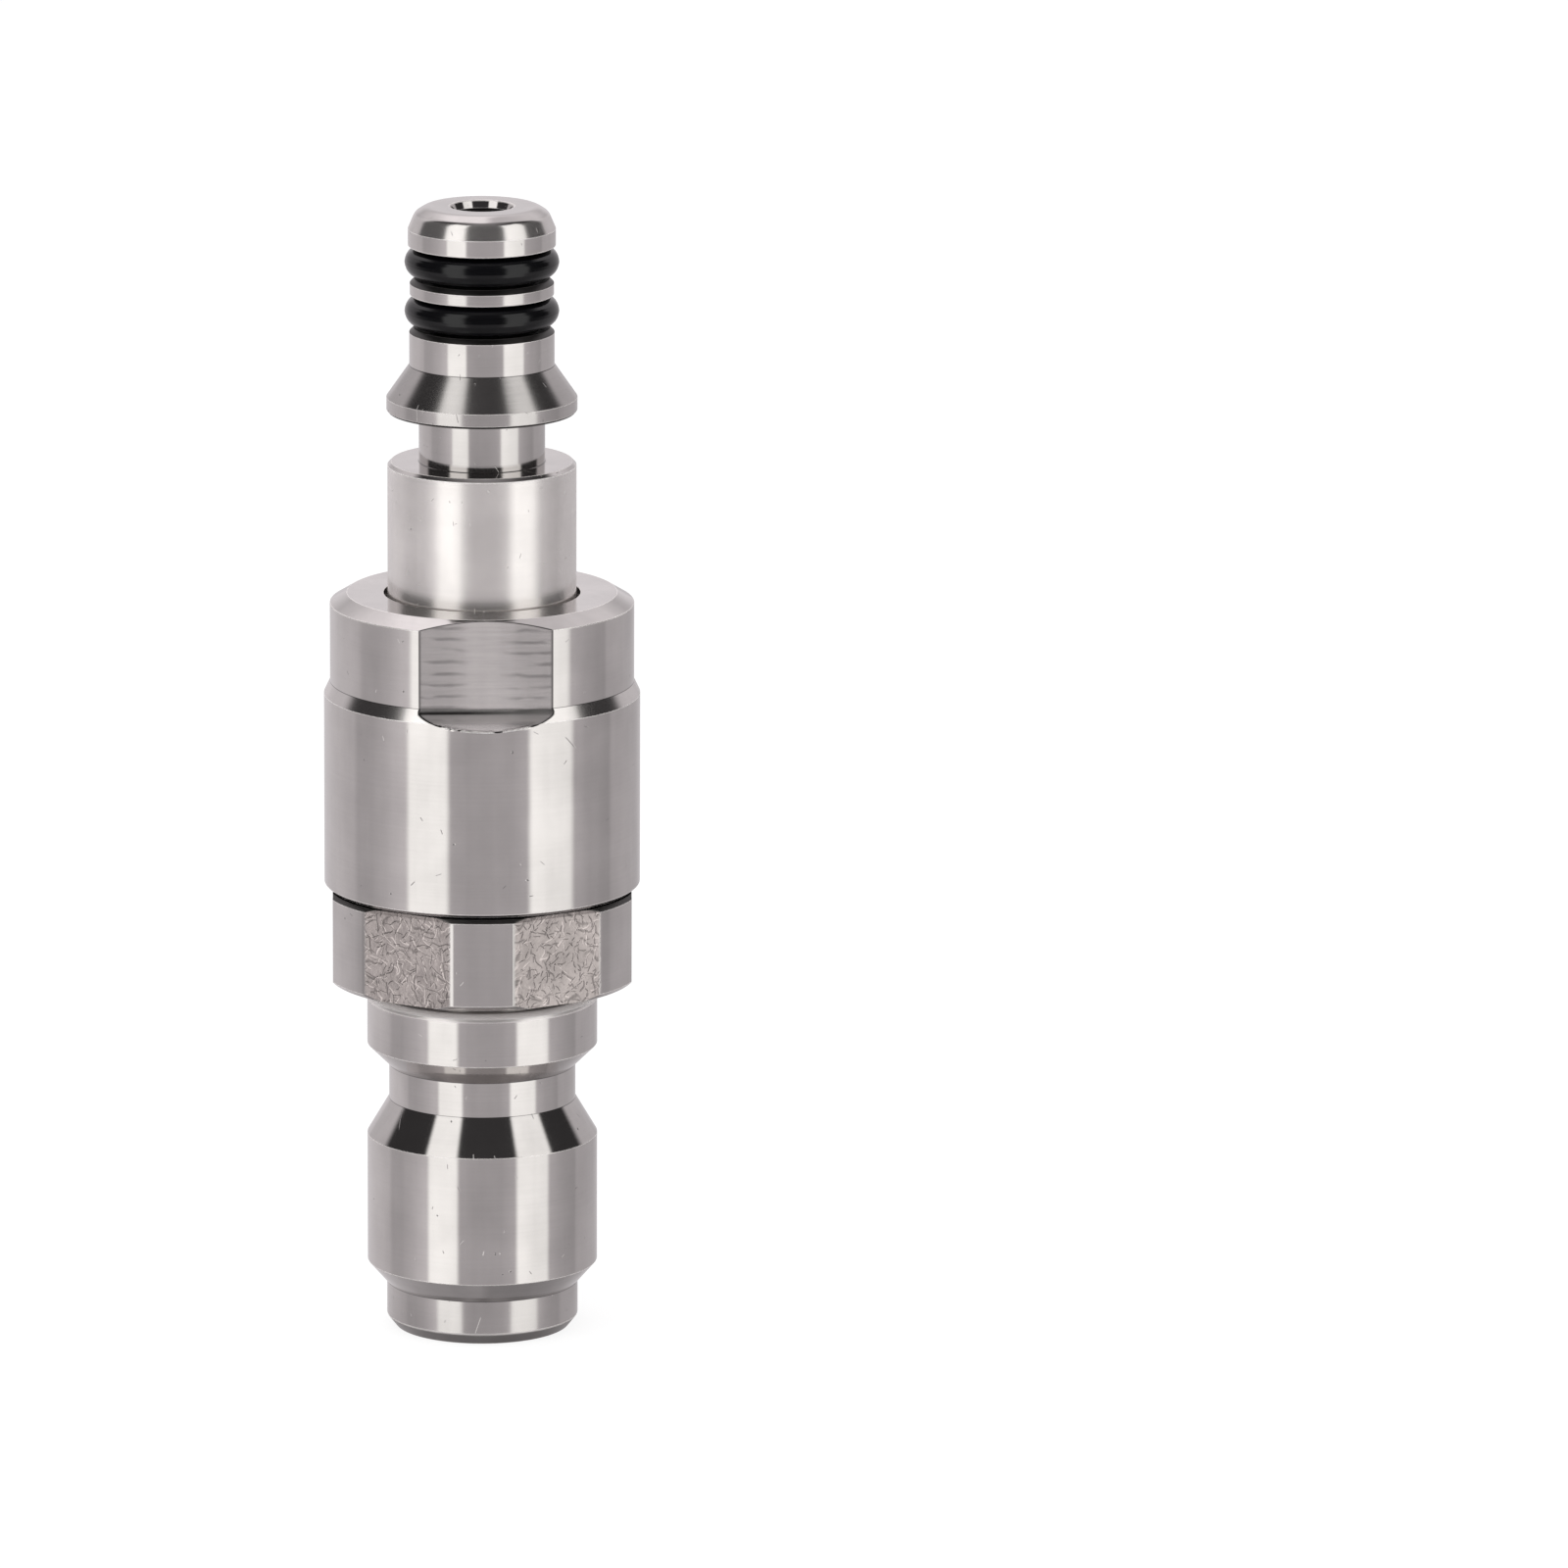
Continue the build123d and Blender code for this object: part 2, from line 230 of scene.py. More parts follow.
def build_turned_form(tree, source, result):
    """Fill the turned_form tree."""
    given = source.outputs
    profile = given["Geometry"]
    size = place(tree, "GeometryNodeAttributeDomainSize", {"component": "MESH"}, {0: profile})
    rows = size.outputs["Point Count"]
    columns = plus(tree, given["Segments"], 1)
    grid_size = {"Size X": 1.0, "Size Y": 1.0, "Vertices X": columns, "Vertices Y": rows}
    grid = place(tree, "GeometryNodeMeshGrid", None, grid_size).outputs["Mesh"]
    here = tree.nodes.new("GeometryNodeInputPosition").outputs[0]
    across = split(tree, here)
    angle = times(tree, plus(tree, across["X"], 0.5), 2 * pi)
    last_row = minus(tree, rows, 1)
    row = calc(tree, "ROUND", times(tree, plus(tree, across["Y"], 0.5), last_row))

    def from_profile(data_type, value):
        inputs = {"Geometry": profile, "Index": row}
        sample = place(tree, "GeometryNodeSampleIndex", {"data_type": data_type}, inputs)
        tree.links.new(value, sample.inputs["Value"])
        return sample.outputs[0]

    def profile_mark(name):
        named = place(tree, "GeometryNodeInputNamedAttribute", {"data_type": "FLOAT"}, {"Name": name})
        return from_profile("FLOAT", named.outputs[0])

    point = split(tree, from_profile("FLOAT_VECTOR", here))
    turned_r, height = point["X"], point["Z"]

    # Columns: even steps round the axis, then crowded towards the middle of each flat
    half_sector = calc(tree, "DIVIDE", pi, given["Flats"])
    from_flat = minus(tree, angle, given["Flat Phase"])
    even = calc(tree, "WRAP", from_flat, half_sector, times(tree, half_sector, -1))
    share = calc(tree, "DIVIDE", calc(tree, "ABSOLUTE", even), half_sector)
    near = times(tree, share, given["Crowding"])
    reach = times(tree, given["Crowding"], given["Crowded Share"])
    spare = minus(tree, 1.0, given["Crowded Share"])
    spread = calc(tree, "DIVIDE", minus(tree, 1.0, reach), spare)
    far = minus(tree, 1.0, times(tree, minus(tree, 1.0, share), spread))
    crowded = times(tree, larger(tree, near, far), half_sector)
    from_flat = times(tree, crowded, calc(tree, "SIGN", even))
    angle = plus(tree, angle, minus(tree, from_flat, even))

    # The cut: a plane for each flat, with the run-out's slope below it, and no wider than the cut's width
    lean = larger(tree, calc(tree, "COSINE", from_flat), 0.05)
    across_flat = times(tree, given["Flat Distance"], calc(tree, "TANGENT", from_flat))
    aside = calc(tree, "ABSOLUTE", across_flat)
    beyond = minus(tree, aside, given["Cut Half Width"])
    beyond = times(tree, larger(tree, beyond, 0.0), CORNER_STEEPNESS)
    below = minus(tree, given["Run-out Height"], height)
    below = times(tree, below, given["Run-out Slope"])
    below = calc(tree, "SMOOTH_MAX", below, 0.0, given["Run-out Softness"])
    in_runout = ramp(tree, below, 0.01 * MM, 0.2 * MM)
    cut = plus(tree, plus(tree, given["Flat Distance"], below), beyond)
    flat_r = calc(tree, "DIVIDE", cut, lean)
    cut_depth = minus(tree, turned_r, flat_r)
    from_edge = calc(tree, "ABSOLUTE", cut_depth)
    radius = calc(tree, "SMOOTH_MIN", turned_r, flat_r, given["Edge Softness"])
    on_flat = ramp(tree, cut_depth, 0.0, 0.08 * MM)

    def spun(distance):
        along_x = times(tree, distance, calc(tree, "COSINE", angle))
        along_y = times(tree, distance, calc(tree, "SINE", angle))
        return joined(tree, along_x, along_y, height)

    def noise(scale, detail, shift):
        inputs = {"Vector": spun(radius), "Scale": scale, "Detail": detail, "W": shift}
        return place(tree, "ShaderNodeTexNoise", {"noise_dimensions": "4D"}, inputs).outputs[0]

    # The flat's outline, its torn burr and the dents in a drawn skin
    ridge = minus(tree, 1.0, calc(tree, "DIVIDE", from_edge, OUTLINE))
    ridge = larger(tree, ridge, 0.0)
    torn = ramp(tree, noise(1100.0, 2.0, given["Seed"]), *TORN)
    torn = times(tree, torn, ramp(tree, aside, *BURR_ENDS))
    lip = minus(tree, 1.0, calc(tree, "DIVIDE", from_edge, LIP))
    lip = larger(tree, lip, 0.0)
    burr = times(tree, times(tree, lip, in_runout), torn)
    outline = times(tree, ridge, minus(tree, 1.0, burr))
    radius_out = times_plus(tree, burr, given["Burr"], radius)
    coarse = noise(given["Relief Scale"], 4.0, given["Seed"])
    dents = times(tree, minus(tree, coarse, 1.0), given["Relief"])
    radius_out = times_plus(tree, dents, on_flat, radius_out)

    marks = {
        "edge": times(tree, profile_mark("edge"), minus(tree, 1.0, on_flat)),
        "finish": profile_mark("finish"),
        "flat": on_flat,
        "burr": burr,
        "outline": outline,
        "run": times(tree, ramp(tree, below, 0.0, 0.26 * MM), on_flat),
    }
    geometry = grid
    for name, value in marks.items():
        inputs = {"Geometry": geometry, "Name": name, "Value": value}
        geometry = place(tree, "GeometryNodeStoreNamedAttribute", {"data_type": "FLOAT"}, inputs).outputs[0]
    last_steps = (
        ("GeometryNodeSetPosition", {"Position": spun(radius_out)}),
        ("GeometryNodeMergeByDistance", {"Distance": WELD}),
        ("GeometryNodeSetShadeSmooth", {}),
        ("GeometryNodeRealizeInstances", {}),
        ("GeometryNodeSetMaterial", {"Material": given["Material"]}),
    )
    for kind, inputs in last_steps:
        geometry = place(tree, kind, None, {"Geometry": geometry, **inputs}).outputs[0]
    tree.links.new(geometry, result.inputs["Geometry"])


build_turned_form(turned_form, form_in, form_out)
print("turned_form nodes:", len(turned_form.nodes))

# %% [markdown]
# ## Profiles with broken edges
# A machinist breaks every sharp edge by a tenth of a millimetre, and those thin rounds are what draws the
# bright lines along a steel part. A profile here is a list of corners, each with the radius of its round.
# The helper turns it into rows: a short arc at each corner, and a row close beside it so that the smooth
# shading doesn't leak into the flat stretch.

# %% From corners to rows
ARC_STEPS = 5
HOLD = 0.03 * MM                # row that holds the shading beside a round
SHORTEST = 0.01 * MM            # rows stay at least this far apart
OUTSIDE = 0.8                   # share of the widest radius beyond which a row counts as outside
FINE_ROUND = 0.06 * MM          # a tighter round takes two steps
WIDEST_EDGE = 1.0 * MM          # a round of this size or more is a turned form, not a broken edge


def profile_rows(corners, longest=1.2 * MM, dense=()):
    """Rows (radius, height, edge, finish) along a closed profile of corners (radius, height, round, finish).
    The edge mark is 1 on an outside edge and -1 in an inside corner. The finish holds up to the next corner.
    On the outside, rows between the heights of a dense span are no further apart than its step."""
    rows = []
    count = len(corners)
    widest = max(corner[0] for corner in corners)
    softened = []
    for index, (r, z, rounding, finish) in enumerate(corners):
        corner = Vector((r, z))
        before = Vector(corners[index - 1][:2]) - corner
        after = Vector(corners[(index + 1) % count][:2]) - corner
        turn = before.angle(after)
        reach = min(rounding / tan(turn / 2), 0.45 * before.length, 0.45 * after.length)
        start, end = corner + before.normalized() * reach, corner + after.normalized() * reach
        points = [start]
        steps = ARC_STEPS if rounding > FINE_ROUND else 2
        for step in range(1, steps):
            share = step / steps
            points.append(start * (1 - share) ** 2 + corner * 2 * share * (1 - share) + end * share**2)
        points.append(end)
        convex = before.x * after.y - before.y * after.x < 0
        edge = 1.0 if convex else -1.0
        softened.append((points, edge if rounding < WIDEST_EDGE else 0.0, finish))
    for index, (points, edge, finish) in enumerate(softened):
        finish_before = softened[index - 1][2]
        for step, point in enumerate(points):
            rows.append((point.x, point.y, edge, finish_before if step < len(points) // 2 else finish))
        start, end = points[-1], softened[(index + 1) % count][0][0]
        run = end - start
        if run.length < 3 * HOLD:
            continue
        heading = run.normalized()
        distance = HOLD
        while distance < run.length - HOLD - SHORTEST:
            point = start + heading * distance
            rows.append((point.x, point.y, 0.0, finish))
            ahead = point + heading * min(longest, run.length - HOLD - distance)
            low_end, high_end = sorted((point.y, ahead.y))
            step_length = longest
            for low, high, step in dense:
                if point.x > OUTSIDE * widest and low_end < high and high_end > low:
                    step_length = step
            distance += step_length
        point = end - heading * HOLD
        rows.append((point.x, point.y, 0.0, finish))
    rows.append(rows[0])
    return rows


def turn_piece(name, corners, material, longest=1.2 * MM, dense=(), **settings):
    """Turn a closed profile into a finished plain mesh with the turned_form tree."""
    rows = profile_rows(corners, longest, dense)
    mesh = bpy.data.meshes.new(name + "_profile")
    edges = [(index, index + 1) for index in range(len(rows) - 1)]
    mesh.from_pydata([(row[0], 0, row[1]) for row in rows], edges, [])
    for mark, place_in_row in (("edge", 2), ("finish", 3)):
        values = mesh.attributes.new(mark, "FLOAT", "POINT").data
        for item, row in zip(values, rows):
            item.value = row[place_in_row]
    piece = bpy.data.objects.new(name, mesh)
    bpy.context.collection.objects.link(piece)
    modifier = piece.modifiers.new("turned", "NODES")
    modifier.node_group = turned_form
    settings = {"Material": material, **settings}
    for item in turned_form.interface.items_tree:
        if item.in_out == "INPUT" and item.name in settings:
            modifier[item.identifier] = settings[item.name]
    evaluated = piece.evaluated_get(bpy.context.evaluated_depsgraph_get())
    turned = bpy.data.meshes.new_from_object(evaluated)
    piece.modifiers.remove(modifier)
    piece.data = turned
    turned.name = name
    print(name, "rows", len(rows), "faces", len(turned.polygons))
    return piece


# %% [markdown]
# ## Marks that every steel surface carries
# Lathe rings, small scratches from handling, tiny pits and slow changes of tone are on all the steel pieces,
# in different strengths. They are one shader group, fed with the object's own coordinates, so the pattern
# stays on the piece from every side. The scratches are drawn cell by cell: each cell of a Voronoi pattern
# holds one short line at a random angle, and most cells are left empty.

# %% Shader group: marks on machined steel
steel_marks, marks_in, marks_out = new_group(
    "steel_marks",
    "ShaderNodeTree",
    [
        ("Ring Depth", FLOAT, 0.0016 * MM),
        ("Ring Scale", FLOAT, 7000.0),
        ("Waviness", FLOAT, 0.008 * MM),
        ("Scratches", FLOAT, 0.10),
        ("Scratch Depth", FLOAT, 0.012 * MM),
        ("Tone Range", FLOAT, 0.34),
    ],
    [("Shade", FLOAT), ("Roughness", FLOAT), ("Height", FLOAT)],
)
MEAN_RADIUS = 10 * MM           # radius at which the pattern is unrolled


def scratch_layer(tree, flat_position, scale, half_length, half_width, share, seed):
    """A mask of short straight scratches, one to a Voronoi cell, in a share of the cells."""
    shifted = vector_step(tree, "MULTIPLY_ADD", flat_position, (scale,) * 3, (seed, seed * 1.7, 0))
    inputs = {"Vector": shifted, "Scale": 1.0}
    cells = place(tree, "ShaderNodeTexVoronoi", {"voronoi_dimensions": "2D"}, inputs)
    delta = split(tree, vector_step(tree, "SUBTRACT", shifted, cells.outputs["Position"]))
    luck = place(tree, "ShaderNodeSeparateColor", None, {0: cells.outputs["Color"]}).outputs
    turn = times(tree, luck[0], 2 * pi)
    cosine, sine = calc(tree, "COSINE", turn), calc(tree, "SINE", turn)
    along = times_plus(tree, delta["X"], cosine, times(tree, delta["Y"], sine))
    beside = times(tree, delta["Y"], cosine)
    beside = minus(tree, beside, times(tree, delta["X"], sine))
    length = times(tree, half_length, plus(tree, luck[2], 0.4))
    end = calc(tree, "DIVIDE", calc(tree, "ABSOLUTE", along), length)
    line = ramp(tree, calc(tree, "ABSOLUTE", beside), half_width, 0.0)
    mask = times(tree, line, ramp(tree, end, 1.0, 0.6))
    chosen = calc(tree, "LESS_THAN", luck[1], share)
    return times(tree, mask, chosen)


def unrolled(tree, axes, radius):
    """A position as if the surface were unrolled at a radius."""
    around = calc(tree, "ARCTAN2", axes["Y"], axes["X"])
    return joined(tree, times(tree, around, radius), axes["Z"])


def build_steel_marks(tree, source, result):
    """Fill the steel_marks group."""
    given = source.outputs
    position = own_position(tree)
    axes = split(tree, position)
    flat_position = unrolled(tree, axes, MEAN_RADIUS)
    ring_x = times(tree, axes["X"], 60.0)
    ring_y = times(tree, axes["Y"], 60.0)
    ring_position = joined(tree, ring_x, ring_y, times(tree, axes["Z"], given["Ring Scale"]))
    rings = noise_over(tree, ring_position, 1.0, 2.0).outputs[0]
    tone = minus(tree, noise_over(tree, position, 200.0, 3.0).outputs[0], 0.5)
    streaks = minus(tree, stretched_noise(tree, position, (900.0, 900.0, 60.0), 2.0), 0.5)
    waves = noise_over(tree, position, 230.0, 1.0).outputs[0]
    share = given["Scratches"]
    long_ones = scratch_layer(tree, flat_position, 420.0, 0.30, 0.018, times(tree, share, 0.6), 3.1)
    short_ones = scratch_layer(tree, flat_position, 1100.0, 0.22, 0.040, share, 11.7)
    pits = scratch_layer(tree, flat_position, 650.0, 0.07, 0.060, times(tree, share, 0.35), 23.9)
    scratches = larger(tree, long_ones, short_ones)
    height = times(tree, rings, given["Ring Depth"])
    height = times_plus(tree, waves, given["Waviness"], height)
    cut = plus(tree, scratches, pits)
    depth = times(tree, cut, times(tree, given["Scratch Depth"], -1))
    height = plus(tree, height, depth)
    drift = plus(tree, tone, times(tree, streaks, 0.35))
    drift = plus(tree, drift, times(tree, minus(tree, rings, 0.5), 0.18))
    shade = times_plus(tree, drift, given["Tone Range"], 1.0)
    shade = minus(tree, shade, times(tree, pits, 0.55))
    rough = times(tree, tone, 0.05)
    rough = plus(tree, rough, times(tree, cut, 0.18))
    tree.links.new(shade, result.inputs["Shade"])
    tree.links.new(rough, result.inputs["Roughness"])
    tree.links.new(height, result.inputs["Height"])


build_steel_marks(steel_marks, marks_in, marks_out)

# %% [markdown]
# ## The steels
# Turned stainless steel is a plain metal: its colour is a warm light grey, and most of its character is in
# the roughness and in what it mirrors. The piece's own marks, stored while it was turned, tell the shader
# where a zone was left satin, where a flat lies and where an edge is broken. Some marks also paint shade or
# a highlight into the colour.

# %% Turned steel
STEEL_COLOUR = (0.640, 0.615, 0.600)


def principled(name, base_colour, roughness, metallic=0.0):
    """A new material with its Principled shader and output."""
    material = bpy.data.materials.new(name)
    material.use_nodes = True
    tree = material.node_tree
    shader = tree.nodes["Principled BSDF"]
    shader.inputs["Base Color"].default_value = (*base_colour, 1)
    shader.inputs["Roughness"].default_value = roughness
    shader.inputs["Metallic"].default_value = metallic
    return material, tree, shader


def mark(tree, name):
    """A mark stored on the mesh, from 0 to 1."""
    return place(tree, "ShaderNodeAttribute", {"attribute_name": name}).outputs["Fac"]


def steel_material(name, roughness, **marks):
    """Turned stainless steel. Broken edges get a lighter, less metallic colour, partly wear and partly a
    painted highlight. Inside corners get painted shade, and the finish mark makes a stretch satin, dull, or
    rough and dark with painted shade."""
    material, tree, shader = principled(name, STEEL_COLOUR, roughness, 1.0)
    surface = place(tree, "ShaderNodeGroup", {"node_tree": steel_marks}, marks)
    edge, finish = mark(tree, "edge"), mark(tree, "finish")
    # Broken edges: partly real wear, partly a painted highlight (lighter colour, less metal)
    wear_and_glint = between(tree, edge, 0.1, 1.0)
    # Inside corners: painted shade, a darker colour where faces meet
    corner = between(tree, edge, -0.1, -1.0)
    satin = minus(tree, 1.0, calc(tree, "ABSOLUTE", minus(tree, finish, 1.0)))
    satin = larger(tree, satin, 0.0)
    # The dark finish mark (2) is painted shade: darker, rougher steel in bores and in faces that lie in
    # shadow
    inside = between(tree, finish, 1.0, 2.0)
    dull = between(tree, finish, 0.0, -1.0)
    shade = surface.outputs["Shade"]
    for weight, change in ((wear_and_glint, 0.45), (satin, 0.38), (corner, -0.60), (inside, -0.86), (dull, -0.50)):
        shade = times(tree, shade, times_plus(tree, weight, change, 1.0))
    tree.links.new(scaled(tree, STEEL_COLOUR, shade), shader.inputs["Base Color"])
    rough = plus(tree, surface.outputs["Roughness"], roughness)
    for weight, change in ((satin, 0.17), (inside, 0.30), (wear_and_glint, 0.20), (dull, 0.30)):
        rough = times_plus(tree, weight, change, rough)
    tree.links.new(rough, shader.inputs["Roughness"])
    metal = times_plus(tree, satin, -0.22, 1.0)
    metal = times_plus(tree, wear_and_glint, -0.45, metal)
    tree.links.new(metal, shader.inputs["Metallic"])
    inputs = {"Height": surface.outputs["Height"], "Distance": 1.0, "Strength": 1.0}
    bump = place(tree, "ShaderNodeBump", None, inputs)
    tree.links.new(bump.outputs[0], shader.inputs["Normal"])
    return material, tree, shader, surface, shade, rough, bump


nipple_steel = steel_material("nipple_steel", 0.085, Scratches=0.08)[0]
plug_steel = steel_material("plug_steel", 0.085, Scratches=0.07)[0]

# %% [markdown]
# ## The housing's milled flats
# An end mill crossed each flat in passes about a millimetre apart, and every pass left a shallow groove that
# shows most towards the sides. The grooves run across the flat, bent a little and broken by noise. The
# run-out below is darker, with a band of painted shade where it meets the flat, strongest on the left, and a
# burr where it meets the barrel, whose colour is raised to a painted highlight.

# %% Housing steel with milling marks
BODY_SCRATCHES = 0.05
MILL_PITCH = 0.95 * MM
MILL_WANDER = 0.45 * MM         # how far a groove strays from its level
MILL_SIDE_STEP = 0.11 * MM      # how much higher the grooves lie on one side than on the other
MILL_GROOVE = 0.006 * MM
FINE_GROOVE = 0.0025 * MM


def add_milling(tree, shader, surface, shade, rough, bump):
    """Add the cutter's grooves and the cut's outline to a steel, where the mesh is marked as flat. The
    outline and a band in the run-out get painted shade, and the burr gets a painted highlight.
    """
    on_flat = mark(tree, "flat")
    scratches = times_plus(tree, on_flat, -BODY_SCRATCHES, BODY_SCRATCHES)
    tree.links.new(scratches, surface.inputs["Scratches"])
    position = own_position(tree)
    axes = split(tree, position)
    aside = calc(tree, "ABSOLUTE", axes["X"])
    wander = minus(tree, noise_over(tree, position, 420.0, 2.0).outputs[0], 0.5)
    wander = times(tree, wander, MILL_WANDER)
    side_step = times(tree, calc(tree, "SIGN", axes["X"]), MILL_SIDE_STEP)
    level = plus(tree, plus(tree, axes["Z"], wander), side_step)
    phase = calc(tree, "FRACT", calc(tree, "DIVIDE", level, MILL_PITCH))
    groove = ramp(tree, calc(tree, "ABSOLUTE", minus(tree, phase, 0.5)), 0.27, 0.0)
    broken = stretched_noise(tree, position, (260.0, 260.0, 1250.0), 2.0)
    strength = times(tree, ramp(tree, aside, 0.9 * MM, 3.0 * MM), ramp(tree, broken, 0.36, 0.52))
    groove = times(tree, times(tree, groove, strength), on_flat)
    fine = minus(tree, stretched_noise(tree, position, (230.0, 230.0, 5200.0), 3.0), 0.5)
    fine = times(tree, fine, on_flat)
    height = times_plus(tree, groove, -MILL_GROOVE, surface.outputs["Height"])
    tree.links.new(times_plus(tree, fine, FINE_GROOVE, height), bump.inputs["Height"])
    flat_shade = minus(tree, 1.36, ramp(tree, aside, 0.6 * MM, 4.4 * MM, 0.0, 0.26))
    flat_shade = times_plus(tree, fine, 0.30, flat_shade)
    flat_shade = times_plus(tree, groove, -0.42, flat_shade)
    gain = times_plus(tree, minus(tree, flat_shade, 1.0), on_flat, 1.0)
    shade = times(tree, shade, gain)
    # Painted shade: a dark line along the flat's outline
    dark_line = minus(tree, 1.0, times(tree, mark(tree, "outline"), 0.90))
    shade = times(tree, shade, dark_line)
    run, burr = mark(tree, "run"), mark(tree, "burr")
    # Painted shade: a dark band where the run-out meets the flat, stronger towards the left
    band = times(tree, run, minus(tree, 1.0, run))
    band = times(tree, band, between(tree, axes["X"], 4.5 * MM, -1.5 * MM, 0.8, 3.8))
    shade = times(tree, shade, minus(tree, 1.0, band))
    shade = times(tree, shade, times_plus(tree, run, -0.34, 1.0))
    # Painted highlight: the burr's colour is raised far above the steel's and made less metallic
    shade = times_plus(tree, burr, 1.60, shade)
    tree.links.new(scaled(tree, STEEL_COLOUR, shade), shader.inputs["Base Color"])
    rough = times_plus(tree, on_flat, 0.12, rough)
    tree.links.new(times_plus(tree, burr, 0.25, rough), shader.inputs["Roughness"])
    soft = larger(tree, times(tree, on_flat, 0.10), times(tree, burr, 0.7))
    wear_and_glint = between(tree, mark(tree, "edge"), 0.1, 1.0, 0.0, 0.45)
    tree.links.new(minus(tree, 1.0, larger(tree, soft, wear_and_glint)), shader.inputs["Metallic"])


body_steel, body_tree, *body_parts = steel_material("body_steel", 0.085, Scratches=BODY_SCRATCHES)
add_milling(body_tree, *body_parts)

# %% [markdown]
# ## The gland nut's drawn flats
# The nut is cut from drawn hexagon bar. Only its corners and faces were turned: the six flats keep the bar's
# skin, which is rough, brownish and crossed by small gouges. Coarse relief is already in the mesh, and the
# material adds the fine grain, the gouges and a mottled tone.

# %% Nut steel with the skin of the bar
DRAWN_COLOUR = (0.50, 0.452, 0.436)
NUT_RADIUS = 12.7 * MM
NUT_TURN = radians(1.6)         # how far the nut is screwed past the housing's flats
NUT_FLATS = 6.0
BEND = 1.5 * MM                 # how far the strokes are bent


def strokes(tree, flat_position, scales, seed):
    """A mask of short strokes at every angle, one layer for each cell scale."""
    mask = 0.0
    for number, scale in enumerate(scales):
        layer = scratch_layer(tree, flat_position, scale, 0.60, 0.075, 0.80, seed + 5.3 * number)
        mask = larger(tree, mask, layer)
    return mask


def add_drawn_skin(tree, shader, surface, shade, rough, bump):
    """Mix in the drawn bar's rough skin where the mesh is marked as flat. The flats' outlines and one side
    of each turned corner band get painted shade.
    """
    skin, outline = mark(tree, "flat"), mark(tree, "outline")
    position = own_position(tree)
    axes = split(tree, position)
    bend = noise_over(tree, position, 620.0, 1.0).outputs[1]
    bent = vector_step(tree, "MULTIPLY_ADD", bend, (BEND,) * 3, unrolled(tree, axes, NUT_RADIUS))
    bright = strokes(tree, bent, (620.0, 900.0, 1300.0), 2.0)
    dark = strokes(tree, bent, (560.0, 980.0, 1500.0), 31.0)
    grain = noise_over(tree, position, 3600.0, 3.0).outputs[0]
    mottle = noise_over(tree, position, 520.0, 3.0).outputs[0]
    relief = times(tree, grain, 0.018 * MM)
    relief = times_plus(tree, bright, 0.012 * MM, relief)
    relief = times_plus(tree, dark, -0.014 * MM, relief)
    height = times_plus(tree, relief, skin, surface.outputs["Height"])
    tree.links.new(height, bump.inputs["Height"])
    skin_shade = times_plus(tree, mottle, 0.70, 0.54)
    skin_shade = times_plus(tree, grain, 0.24, minus(tree, skin_shade, 0.12))
    skin_shade = times_plus(tree, bright, 0.46, skin_shade)
    skin_shade = times_plus(tree, dark, -0.36, skin_shade)
    # Painted shade: a dark line along each flat's outline
    dark_line = minus(tree, 1.0, times(tree, outline, 0.35))
    skin_colour = scaled(tree, DRAWN_COLOUR, times(tree, skin_shade, dark_line))
    # Painted shade: one side of each turned corner band is darkened along its outline
    around = plus(tree, calc(tree, "ARCTAN2", axes["Y"], axes["X"]), NUT_TURN)
    corner_side = calc(tree, "SINE", times(tree, around, NUT_FLATS))
    dark_side = times(tree, calc(tree, "LESS_THAN", corner_side, 0.0), outline)
    turned_shade = times(tree, shade, times_plus(tree, dark_side, -0.38, 1.0))
    turned_colour = scaled(tree, STEEL_COLOUR, turned_shade)
    tree.links.new(mixed(tree, skin, turned_colour, skin_colour), shader.inputs["Base Color"])
    tree.links.new(times_plus(tree, skin, 0.20, rough), shader.inputs["Roughness"])


nut_steel, nut_tree, *nut_parts = steel_material("nut_steel", 0.11, Scratches=0.04)
add_drawn_skin(nut_tree, *nut_parts)

# %% [markdown]
# ## Rubber, and the pieces inside
# The O-rings are black nitrile rubber with a dull gloss. The pieces that the housing hides get their own
# finishes too, because a coupling is also looked at taken apart: ground bearing steel, bronze, copper and
# two plastics.


# %% Soft and hidden materials
def grained(name, colour, roughness, metallic, scale, depth, tone):
    """A material with a fine grain in its height, tone and roughness."""
    material, tree, shader = principled(name, colour, roughness, metallic)
    position = own_position(tree)
    grain = noise_over(tree, position, scale, 4.0).outputs[0]
    cloud = noise_over(tree, position, scale / 6, 2.0).outputs[0]
    shade = times_plus(tree, minus(tree, cloud, 0.5), tone, 1.0)
    tree.links.new(scaled(tree, colour, shade), shader.inputs["Base Color"])
    rough = times_plus(tree, minus(tree, grain, 0.5), 0.12, roughness)
    tree.links.new(rough, shader.inputs["Roughness"])
    height = times(tree, grain, depth)
    bump = place(tree, "ShaderNodeBump", None, {"Height": height, "Distance": 1.0})
    tree.links.new(bump.outputs[0], shader.inputs["Normal"])
    return material


